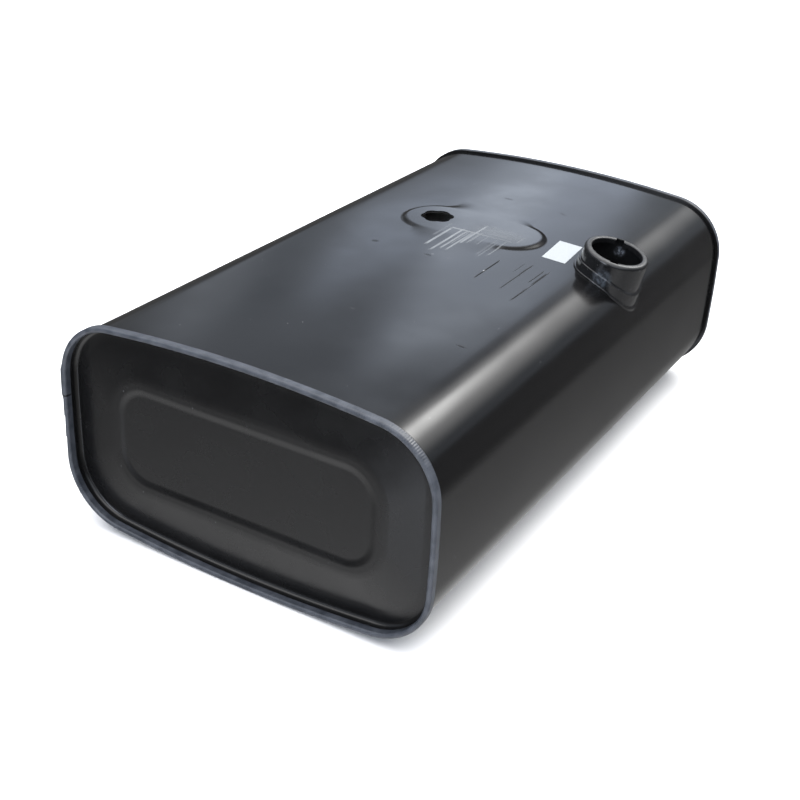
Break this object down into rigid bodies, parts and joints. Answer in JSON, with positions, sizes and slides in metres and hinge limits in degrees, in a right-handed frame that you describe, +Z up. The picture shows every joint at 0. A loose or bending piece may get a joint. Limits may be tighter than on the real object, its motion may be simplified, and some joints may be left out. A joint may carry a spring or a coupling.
{
  "type": "fuel tank",
  "caption": "Flat steel fuel tank with rounded corners, seamed dished ends, a bayonet filler neck at one upper corner and a lobed sender hole in a pressed pad.",
  "frame": {"origin": "centre of the base, on the plane that the two end seams rest on", "axes": "+X along the tank, towards the end nearer the filler neck; the neck is on the -Y side; +Z up"},
  "size_m": [1.042, 0.6213, 0.3758],
  "materials": {
    "shell_paint": "gloss black",
    "end_paint": "satin black",
    "neck_paint": "gloss black",
    "inner_steel": "bare sheet",
    "plug_zinc": "zinc plated",
    "washer_copper": "copper",
    "label_paper": "blank white"
  },
  "bodies": {
    "root": {"shell": "shell_paint", "end_plate_front": "end_paint", "end_plate_rear": "end_paint", "baffle_front": "inner_steel", "baffle_rear": "inner_steel", "filler_neck": "neck_paint", "neck_collar": "neck_paint", "sender_ring": "inner_steel", "drain_boss": "shell_paint", "drain_plug": "plug_zinc", "drain_washer": "washer_copper", "label": "label_paper"}
  },
  "joints": []
}
